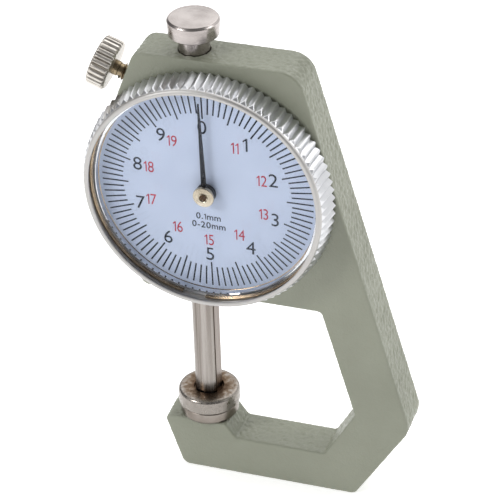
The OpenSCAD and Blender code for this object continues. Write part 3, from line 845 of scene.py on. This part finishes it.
@dataclass
class BezelAssembly:
    """Ridged bezel, printed dial and what holds them."""

    ridges: int = 90
    columns: int = 12
    outer_r: float = 22.0
    end_r: float = 21.45
    root_r: float = 21.0
    lip_r: float = 20.55
    wall_r: float = 20.2
    bore_r: float = 19.26
    back_h: float = 4.3
    end_h: float = 8.3
    band_h: float = 8.95
    top_h: float = 9.55
    back_r: float = 21.75
    seat_r: float = 20.4
    wire_r: float = 19.6
    wire_low: float = 4.5
    wire_high: float = 5.2
    soft: float = 0.012
    groove: float = 0.55
    rolled_r: float = 20.0
    wire_gap: float = 11.5
    wire_turn: float = -97.0

    def profile(self) -> list[Point]:
        """Draw the section of the bezel.

        Returns:
            Its points from the back, round the outside and down the inside.
        """
        low, end = Vector((self.outer_r, self.back_h + 0.25)), Vector((self.end_r, self.end_h))
        foot = Vector((self.root_r - 0.02, self.band_h))
        side = [tuple(low.lerp(end, t)) for t in (0.0, 0.25, 0.5, 0.75, 1.0)]
        chamfer = [tuple(end.lerp(foot, t)) for t in (0.2, 0.4, 0.6, 0.8, 1.0)]
        roll, top = self.rolled_r, self.top_h
        lip = [(20.95, top - 0.5), (20.92, top - 0.35), (20.85, top - 0.19), (20.72, top - 0.07),
               (20.5, top), (roll + 0.2, top - 0.02), (roll + 0.06, top - 0.09), (roll, top - 0.19),
               (roll + 0.02, top - 0.28), (roll + 0.1, top - 0.32)]
        seat = front_of("crystal") - 0.6
        snap = front_of("snap_ring") + 0.05
        ledge = front_of("spacer_ring")
        dial = back_of("dial_plate")
        first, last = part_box("snap_ring")
        groove = (last.x - first.x) / 2 / MM + 0.05
        inner = [(self.lip_r, top - 0.32), (self.lip_r, seat), (self.seat_r, seat), (self.seat_r, snap),
                 (groove, snap), (groove, ledge), (self.wall_r, ledge), (self.wall_r, dial), (self.bore_r, dial)]
        wire = [(self.bore_r, self.wire_high), (self.wire_r, self.wire_high), (self.wire_r, self.wire_low),
                (self.bore_r, self.wire_low), (self.bore_r, self.back_h)]
        return [(self.back_r, self.back_h), *side, *chamfer, *lip, *inner, *wire]

    def ring(self) -> None:
        """Make the ridged bezel.

        The section is turned plain, then its outer points are drawn in to the grooves.
        """
        bm = Bench.turned(self.profile(), self.ridges * self.columns, closed=True)
        for v in bm.verts:
            r = math.hypot(v.co.x, v.co.y)
            if r > self.root_r - 0.1 and v.co.z < self.band_h + 1e-3:
                level = max(r, self.end_r) if v.co.z < self.end_h + 1e-3 else self.end_r
                turn = math.atan2(v.co.y, v.co.x)
                new = ridge(r, turn, level + 0.04, level - self.groove, self.ridges, self.soft)
                v.co.x *= new / r
                v.co.y *= new / r
        Bench.deliver(bm, Tag("bezel_ring", Body.BEZEL, Slot.ALLOY, Finish.ALLOY, ("bezel",), 30.0), ON_DIAL)

    def spacer(self) -> None:
        """Make the polished spacer and the thin brown line at its foot.

        The spacer stands between the dial and the window.
        """
        low, high = back_of("spacer_ring"), front_of("spacer_ring")
        inner, outer = self.wall_r - 0.8, self.wall_r - 0.05
        profile = [(inner, low), (outer, low), (outer, high), (inner + 0.1, high), (inner, high - 0.1)]
        bm = Bench.turned(profile, 240, closed=True)
        Bench.deliver(bm, Tag("spacer_turned", Body.BEZEL, Slot.ALLOY, Finish.SPACER, ("spacer_ring",)), ON_DIAL)
        near, far = inner - 0.09, inner - 0.005
        line = [(near, low), (far, low), (far, low + 0.06), (near, low + 0.04)]
        bm = Bench.turned(line, 240, closed=True)
        Bench.deliver(bm, Tag("dial_edge_line", Body.BEZEL, Slot.ALLOY, Finish.WIRE), ON_DIAL)

    def snap_wire(self) -> None:
        """Make the split wire that holds the window down.

        A round section is swept from one side of the gap to the other.
        """
        low, high = back_of("snap_ring"), front_of("snap_ring")
        thick = (high - low) / 2
        gap = math.radians(self.wire_gap)
        bm = bmesh.new()
        spot = Matrix.Translation((self.wall_r, 0.0, (low + high) / 2))
        upright = Matrix.Rotation(math.radians(90), 4, "X")
        bmesh.ops.create_circle(bm, cap_ends=True, segments=16, radius=thick, matrix=spot @ upright)
        bmesh.ops.rotate(bm, cent=(0, 0, 0), verts=bm.verts,
                         matrix=Matrix.Rotation(math.radians(self.wire_turn) + gap / 2, 3, "Z"))
        bmesh.ops.spin(bm, geom=bm.faces[:], cent=(0, 0, 0), axis=(0, 0, 1), dvec=(0, 0, 0),
                       angle=2 * math.pi - gap, steps=240, use_merge=False, use_duplicate=False)
        tag = Tag("snap_wire_bent", Body.BEZEL, Slot.WIRE, Finish.WIRE, ("snap_ring",), 50.0)
        Bench.deliver(bm, tag, ON_DIAL)

    def build(self) -> None:
        """Make the bezel and the dial's print.

        The dial plate and the window are shown as packed.
        """
        self.ring()
        self.spacer()
        self.snap_wire()
        DialPrint(front_of("dial_plate")).build()


@dataclass
class DialPrint:
    """Marks and numbers printed on the dial."""

    level: float
    outer_r: float = 18.7
    long_r: float = 14.04
    short_r: float = 14.96
    mark_w: float = 0.275
    ink_t: float = 0.02
    turn: float = 1.2
    number_r: float = 12.4
    number_tall: float = 2.5
    red_tall: float = 2.1
    letter_t: float = 0.01
    letter_gap: float = 0.1
    figure_tall: float = 0.66
    stem_w: float = 0.088
    flag_w: float = 0.13
    flag_slope: float = 0.75
    red_width: float = 0.78
    small_tall: float = 1.23
    small_weight: float = 0.014

    def marks(self) -> bmesh.types.BMesh:
        """Make the hundred marks.

        Returns:
            The marks, every fifth one longer.
        """
        bm = bmesh.new()
        for i, inner in enumerate([self.long_r] + [self.short_r] * 4):
            length = self.outer_r - inner
            size = Matrix.Diagonal((self.mark_w, length, self.ink_t, 1.0))
            spot = Matrix.Translation((0.0, inner + length / 2, self.level))
            turn = Matrix.Rotation(-2 * math.pi * i / 100, 4, "Z")
            bmesh.ops.create_cube(bm, size=1.0, matrix=turn @ spot @ size)
        bmesh.ops.spin(bm, geom=bm.verts[:] + bm.edges[:] + bm.faces[:], cent=(0, 0, 0), axis=(0, 0, 1),
                       dvec=(0, 0, 0), angle=-2 * math.pi * 19 / 20, steps=19, use_merge=False,
                       use_duplicate=True)
        bmesh.ops.rotate(bm, cent=(0, 0, 0), verts=bm.verts,
                         matrix=Matrix.Rotation(math.radians(self.turn), 3, "Z"))
        return bm

    def words(self, text: str, tall: float, at: Point, width: float = 1.0,
              weight: float = 0.0) -> bmesh.types.BMesh:
        """Make printed characters.

        Args:
            text: Characters.
            tall: Height of the characters.
            at: Middle of the characters on the dial.
            width: Width against the plain letter form.
            weight: Thickening of the letter form.

        Returns:
            The printed shape.
        """
        letters = []
        reach = 0.0
        for letter in text:
            bm = self.one_stroke() if letter == "1" else self.letter(letter, weight)
            xs = [v.co.x for v in bm.verts]
            bmesh.ops.translate(bm, vec=(reach - min(xs), 0, 0), verts=bm.verts)
            reach += max(xs) - min(xs) + self.letter_gap
            letters.append(bm)
        whole = Bench.joined(letters)
        xs = [v.co.x for v in whole.verts]
        ys = [v.co.y for v in whole.verts]
        middle = Vector(((min(xs) + max(xs)) / 2, (min(ys) + max(ys)) / 2, 0.0))
        grow = tall / (max(ys) - min(ys))
        bmesh.ops.translate(whole, vec=-middle, verts=whole.verts)
        bmesh.ops.scale(whole, vec=(grow * width, grow, self.ink_t / (2 * self.letter_t)), verts=whole.verts)
        bmesh.ops.translate(whole, vec=(*at, self.level), verts=whole.verts)
        return whole

    def letter(self, letter: str, weight: float) -> bmesh.types.BMesh:
        """Make one character from the built-in letter form.

        Args:
            letter: Character.
            weight: Thickening of the letter form.

        Returns:
            The character on its line.
        """
        curve = bpy.data.curves.new("letter", "FONT")
        curve.body = letter
        curve.extrude = self.letter_t
        curve.offset = weight
        holder = bpy.data.objects.new("letter", curve)
        bpy.context.scene.collection.objects.link(holder)
        bpy.context.view_layer.update()
        shown = holder.evaluated_get(bpy.context.evaluated_depsgraph_get())
        bm = bmesh.new()
        bm.from_mesh(shown.to_mesh())
        shown.to_mesh_clear()
        bpy.data.objects.remove(holder)
        bmesh.ops.remove_doubles(bm, verts=bm.verts, dist=1e-4)
        return bm

    def one_stroke(self) -> bmesh.types.BMesh:
        """Make a one with a flag at its top.

        Returns:
            The figure, as tall as the others.
        """
        bm = bmesh.new()
        tall, stem, flag = self.figure_tall, self.stem_w, self.flag_w
        size = Matrix.Diagonal((stem, tall, 2 * self.letter_t, 1.0))
        bmesh.ops.create_cube(bm, size=1.0, matrix=Matrix.Translation((0, tall / 2, 0)) @ size)
        lean = Matrix.Identity(4)
        lean[1][0] = self.flag_slope
        size = Matrix.Diagonal((flag, stem, 2 * self.letter_t, 1.0))
        spot = Matrix.Translation((-(flag + stem) / 2, tall - stem * 0.75 - self.flag_slope * flag / 2, 0))
        bmesh.ops.create_cube(bm, size=1.0, matrix=spot @ lean @ size)
        return bm

    def red_spot(self, at: Point, angle: float) -> Point:
        """Find where a red number stands beside its black one.

        Args:
            at: Middle of the black number.
            angle: Its angle round the dial, in radians.

        Returns:
            The middle of the red number.
        """
        side = max(-1.0, min(1.0, 1.6 * math.cos(angle)))
        drop = 1.1 if math.sin(angle) > 0 else 2.85
        return at[0] - 2.0 * side, at[1] - drop * math.sin(angle)

    def build(self) -> None:
        """Make the marks, the black print and the red print.

        The red numbers go on from the black ones for the pointer's second turn.
        """
        black, red = [], []
        for i in range(10):
            angle = math.radians(90 + self.turn - 36 * i)
            at = ((self.number_r + 0.2) * math.cos(angle) - 0.15, self.number_r * math.sin(angle))
            black.append(self.words(str(i), self.number_tall, at))
            if i:
                red.append(self.words(str(10 + i), self.red_tall, self.red_spot(at, angle), self.red_width))
        for text, at in (("0.1mm", (0.08, -4.97)), ("0-20mm", (0.09, -6.64))):
            black.append(self.words(text, self.small_tall, at, weight=self.small_weight))
        for name, shape, finish in (("dial_marks", self.marks(), Finish.INK),
                                    ("dial_numbers", Bench.joined(black), Finish.INK),
                                    ("dial_red_numbers", Bench.joined(red), Finish.RED)):
            Bench.deliver(shape, Tag(name, Body.BEZEL, Slot.ENAMEL, finish), ON_DIAL)


@dataclass
class PointerAssembly:
    """Turned hub over the pointer's boss."""

    hub_r: float = 1.85
    eye_r: float = 0.78
    arbor_r: float = 0.6
    eye_depth: float = 0.32

    def build(self) -> None:
        """Make the hub with its dished eye.

        The end of the arbor shows in the eye as a piece of its own.
        """
        low, high = back_of("pointer_hub"), front_of("pointer_hub")
        profile = [(self.arbor_r, low), (self.hub_r - 0.06, low), (self.hub_r, low + 0.06),
                   (self.hub_r, high - 0.2), (self.hub_r - 0.04, high - 0.12), (self.hub_r - 0.14, high - 0.07),
                   (1.3, high - 0.03), (self.eye_r + 0.06, high), (self.eye_r, high - 0.05),
                   (self.eye_r - 0.03, high - self.eye_depth), (self.arbor_r, high - self.eye_depth)]
        bm = Bench.turned(profile, 96, closed=True)
        Bench.deliver(bm, Tag("hub_disc", Body.PINION, Slot.HUB, Finish.HUB, ("pointer_hub",)), ON_DIAL)
        end = [(0.0, high - 0.07), (self.arbor_r, high - 0.07), (self.arbor_r, high - 0.02), (0.5, high - 0.01),
               (0.42, high - 0.04), (0.26, high - 0.04), (0.2, high), (0.0, high)]
        bm = Bench.turned(end, 64)
        Bench.deliver(bm, Tag("arbor_end", Body.PINION, Slot.HUB, Finish.DARK), ON_DIAL)


@dataclass
class PlungerAssembly:
    """Knob, moving contact and anvil, turned with softened edges."""

    edge: float = 0.07
    steps: int = 160
    knob_l: float = 3.1
    knob_r: float = 4.45
    knob_top_r: float = 4.1
    neck_r: float = 2.65
    stud_r: float = 1.5
    stud_l: float = 4.6
    crown: float = 0.7
    recess_r: float = 2.65
    recess_l: float = 0.7
    tip_stud_r: float = 1.25
    tip_stud_l: float = 1.47
    anvil_r: float = 5.2
    anvil_l: float = 2.2
    stem_r: float = 1.98

    def knob(self) -> None:
        """Make the lift knob with its neck.

        A hole from below takes the stud of the rod.
        """
        low, high = (c.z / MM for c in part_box("lift_knob"))
        head, hole = high - self.knob_l, low + self.stud_l
        neck, r, top = self.neck_r, self.knob_r, self.knob_top_r
        profile = [(self.stud_r, hole), (self.stud_r, low), (neck - 0.2, low), (neck, low + 0.2), (neck, head),
                   (top, head), (r - 0.17, head + 0.14), (r, high - 0.4), (top, high), (0.0, high)]
        bm = Bench.turned([(0.0, hole), *Bench.rounded(profile, self.edge)], self.steps)
        Bench.deliver(bm, Tag("knob_turned", Body.PLUNGER, Slot.KNOB, Finish.KNOB, ("lift_knob",)), UPRIGHT)

    def contact(self) -> None:
        """Make the moving contact with the recess round the rod.

        Its upper edge is well rounded, and its lower edge leaves a thin seam above the anvil.
        """
        low, high = (c.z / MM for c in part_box("contact_tip"))
        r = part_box("contact_tip")[1].x / MM
        crown, recess, stud = self.crown, self.recess_r, self.tip_stud_r
        floor = high - self.recess_l
        end = floor - self.tip_stud_l
        outside = [(0.0, low), (r - 0.34, low), (r, low + 0.3), (r, high - crown)]
        edge = [(r - crown * (1 - math.cos(a)), high - crown * (1 - math.sin(a)))
                for a in (0.26, 0.52, 0.79, 1.05, 1.31)]
        inside = [(r - crown, high), (recess + 0.07, high), (recess, high - 0.08), (recess, floor),
                  (stud, floor), (stud, end), (0.0, end)]
        bm = Bench.turned(Bench.rounded([*outside, *edge, *inside], 0.05), self.steps)
        tag = Tag("contact_turned", Body.PLUNGER, Slot.MEASURING, Finish.CONTACT, ("contact_tip",))
        Bench.deliver(bm, tag, UPRIGHT)

    def anvil(self) -> None:
        """Make the fixed anvil with its stem.

        The stem sits in the arm of the casting.
        """
        low, high = (c.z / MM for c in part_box("anvil"))
        seat, stem, r = high - self.anvil_l, self.stem_r, self.anvil_r
        profile = [(0.0, low), (stem - 0.18, low), (stem, low + 0.3), (stem, seat), (r - 0.3, seat),
                   (r, seat + 0.5), (r, high - 0.16), (r - 0.22, high), (0.0, high)]
        bm = Bench.turned(Bench.rounded(profile, self.edge), self.steps)
        Bench.deliver(bm, Tag("anvil_turned", Body.FRAME, Slot.MEASURING, Finish.ANVIL, ("anvil",)), UPRIGHT)

    def build(self) -> None:
        """Make the three turned pieces.

        The rod between them is shown as packed.
        """
        self.knob()
        self.contact()
        self.anvil()


@dataclass
class LockAssembly:
    """Ridged lock screw with a cut thread."""

    ridges: int = 26
    columns: int = 12
    head_r: float = 4.4
    head_l: float = 3.4
    gap: float = 2.7
    entry: float = 12.7953
    back: float = 5.64
    pitch: float = 0.5
    crest_r: float = 1.5
    root_r: float = 1.16
    neck_r: float = 1.3

    def head(self) -> None:
        """Make the ridged head.

        It is turned plain, then its edge is drawn in to the grooves.
        """
        low = self.entry + self.gap
        high, r = low + self.head_l, self.head_r
        side = [(r, low + 0.4 + (self.head_l - 0.8) * t) for t in (0.0, 0.33, 0.67, 1.0)]
        ends = [(r - 0.4, low), (r - 0.27, low + 0.08), (r - 0.13, low + 0.2)]
        tops = [(r - 0.13, high - 0.2), (r - 0.27, high - 0.08), (r - 0.4, high)]
        profile = [(0.0, low), (1.4, low), (r - 0.6, low), *ends, *side,
                   *tops, (r - 0.6, high), (1.3, high), (0.0, high - 0.03)]
        bm = Bench.turned(profile, self.ridges * self.columns)
        for v in bm.verts:
            radius = math.hypot(v.co.x, v.co.y)
            if radius > r - 0.46:
                new = ridge(radius, math.atan2(v.co.y, v.co.x), r + 0.32, r - 0.4, self.ridges, 0.02)
                v.co.x *= new / radius
                v.co.y *= new / radius
        Bench.deliver(bm, Tag("lock_head", Body.LOCK_SCREW, Slot.LOCK, Finish.LOCK, ("lock_screw",)), ON_LOCK)

    def shank(self) -> None:
        """Make the threaded shank.

        The thread is one section wound along the core.
        """
        high = self.entry + self.gap - 1.0
        head = self.entry + self.gap
        profile = [(0.0, self.back), (self.root_r - 0.2, self.back), (self.root_r, self.back + 0.2),
                   (self.root_r, high), (self.neck_r, high + 0.1), (self.neck_r, head + 0.02),
                   (0.0, head + 0.02)]
        core = Bench.turned(profile, 64)
        thread = bmesh.new()
        half = self.pitch * 0.46
        foot, crest = self.root_r - 0.05, self.crest_r
        corners = [(foot, -half), (crest, -0.05), (crest, 0.05), (foot, half)]
        points = [thread.verts.new((r, 0.0, self.back + 0.45 + h)) for r, h in corners]
        section = thread.faces.new(points)
        steps = 32
        turns = (high - self.back - 0.9) / self.pitch
        bmesh.ops.spin(thread, geom=[section], cent=(0, 0, 0), axis=(0, 0, 1),
                       dvec=(0, 0, self.pitch / steps), angle=2 * math.pi * turns,
                       steps=round(steps * turns), use_merge=False, use_duplicate=False)
        both = Bench.joined([core, thread])
        Bench.deliver(both, Tag("lock_thread", Body.LOCK_SCREW, Slot.LOCK, Finish.THREAD), ON_LOCK)

    def build(self) -> None:
        """Make the head and the shank."""
        self.head()
        self.shank()


class PackedParts:
    """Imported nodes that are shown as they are."""

    finishes: dict[str, Finish] = {
        "lower_bush": Finish.BRASS, "upper_bush": Finish.BRASS, "back_bushes": Finish.BRASS,
        "bridge_plate": Finish.BRASS, "bridge_screws": Finish.SPRING, "spring_post": Finish.SPRING,
        "hairspring_stud": Finish.BRASS, "bezel_wire": Finish.SPRING, "plunger_rod": Finish.ROD,
        "spring_pin": Finish.SPRING, "return_spring": Finish.SPRING, "pinion_arbor": Finish.THREAD,
        "pointer": Finish.BLACK, "take_up_wheel": Finish.BRASS, "take_up_arbor": Finish.ROD,
        "hairspring": Finish.SPRING, "dial_plate": Finish.ENAMEL, "crystal": Finish.CLEAR,
        "lock_pad": Finish.BRASS,
    }

    def build(self) -> None:
        """Give each of these nodes its finish.

        Their shapes are left as packed.
        """
        for name, finish in self.finishes.items():
            node = frame["nodes"][name]
            node.data.materials.clear()
            node.data.materials.append(finish.material())
            LOG.info("%s: %s", name, finish.name.lower())


@dataclass
class Studio:
    """White floor, soft lamps and the camera."""

    eye: tuple[float, float, float] = (0.1303248, -0.3496661, 0.2863100)
    right: tuple[float, float, float] = (0.949632, 0.312212, -0.026887)
    up: tuple[float, float, float] = (-0.148734, 0.524582, 0.838267)
    lens: float = 184.89
    world_light: float = 0.22
    aim: tuple[float, float, float] = (0.008, 0.0, 0.045)

    def floor(self) -> None:
        """Lay a white floor under the gauge.

        It glows a little, so it stays white and still takes a shadow.
        """
        bm = bmesh.new()
        bmesh.ops.create_grid(bm, x_segments=1, y_segments=1, size=3.0)
        mesh = Bench.mesh_of(bm, "floor")
        s = Surface("floor_white", {"Roughness": 0.9, "Specular IOR Level": 0.1,
                                    "Emission Color": (1, 1, 1, 1), "Emission Strength": 0.5})
        s.shades(s.grain((0.02, 0.02, 0.02)), [(0.3, (0.94, 0.94, 0.94)), (0.7, (0.96, 0.96, 0.96))])
        mesh.materials.append(s.material)
        floor = bpy.data.objects.new("floor", mesh)
        bpy.context.scene.collection.objects.link(floor)

    def world(self) -> None:
        """Surround the gauge with even light.

        The camera itself sees plain white.
        """
        world = bpy.data.worlds.new("studio")
        bpy.context.scene.world = world
        world.use_nodes = True
        tree = world.node_tree
        tree.nodes.clear()
        path = tree.nodes.new("ShaderNodeLightPath")
        mix = tree.nodes.new("ShaderNodeMixShader")
        out = tree.nodes.new("ShaderNodeOutputWorld")
        tree.links.new(path.outputs["Is Camera Ray"], mix.inputs[0])
        for socket, strength in ((1, self.world_light), (2, 1.0)):
            light = tree.nodes.new("ShaderNodeBackground")
            light.inputs["Strength"].default_value = strength
            light.inputs["Color"].default_value = (1, 1, 1, 1)
            tree.links.new(light.outputs[0], mix.inputs[socket])
        tree.links.new(mix.outputs[0], out.inputs["Surface"])

    def lamp(self, name: str, at: Sequence[float], size: float, power: float) -> None:
        """Hang a square soft lamp that points at the gauge.

        Args:
            name: Name of the lamp.
            at: Place, in metres.
            size: Side of the lamp, in metres.
            power: Power of the lamp.
        """
        data = bpy.data.lights.new(name, "AREA")
        data.size = size
        data.energy = power
        lamp = bpy.data.objects.new(name, data)
        lamp.location = at
        aim = Vector(self.aim) - Vector(at)
        lamp.rotation_mode = "QUATERNION"
        lamp.rotation_quaternion = aim.to_track_quat("-Z", "Y")
        bpy.context.scene.collection.objects.link(lamp)

    def camera(self) -> None:
        """Set the camera at the photograph's angle.

        Its place and directions were solved from the dial's marks.
        """
        data = bpy.data.cameras.new("camera")
        data.lens = self.lens
        data.sensor_width = 36.0
        data.clip_start, data.clip_end = 0.01, 20.0
        camera = bpy.data.objects.new("camera", data)
        back = Vector(self.right).cross(Vector(self.up))
        turn = Matrix((self.right, self.up, back)).transposed().to_4x4()
        camera.matrix_world = Matrix.Translation(self.eye) @ turn
        bpy.context.scene.collection.objects.link(camera)
        bpy.context.scene.camera = camera

    def build(self) -> None:
        """Set up the floor, the light and the camera.

        A small lamp from the left makes the shadows, and three wide ones light the sides and the top.
        """
        self.floor()
        self.world()
        self.lamp("key_left", (-0.37, -0.42, 0.42), 0.22, 1.9)
        self.lamp("fill_right", (0.60, 0.05, 0.40), 0.3, 1.0)
        self.lamp("back_right", (0.45, 0.55, 0.40), 1.15, 3.4)
        self.lamp("top_back", (-0.18, 0.50, 0.75), 1.25, 6.6)
        self.camera()
        bpy.context.scene.view_settings.view_transform = "Standard"


def write_sizes() -> None:
    """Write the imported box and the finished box.

    Both are in metres, as their lowest and highest corners.
    """
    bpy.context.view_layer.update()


def main() -> None:
    """Build every assembly in order.

    Each piece is reported as it is handed over.
    """
    logging.basicConfig(level=logging.INFO, format="%(message)s")
    makers: list[Callable[[], None]] = [
        PackedParts().build, Casting().build, BezelAssembly().build, PointerAssembly().build,
        PlungerAssembly().build, LockAssembly().build, Studio().build, write_sizes,
    ]
    for make in makers:
        make()


if __name__ == "__main__":
    main()
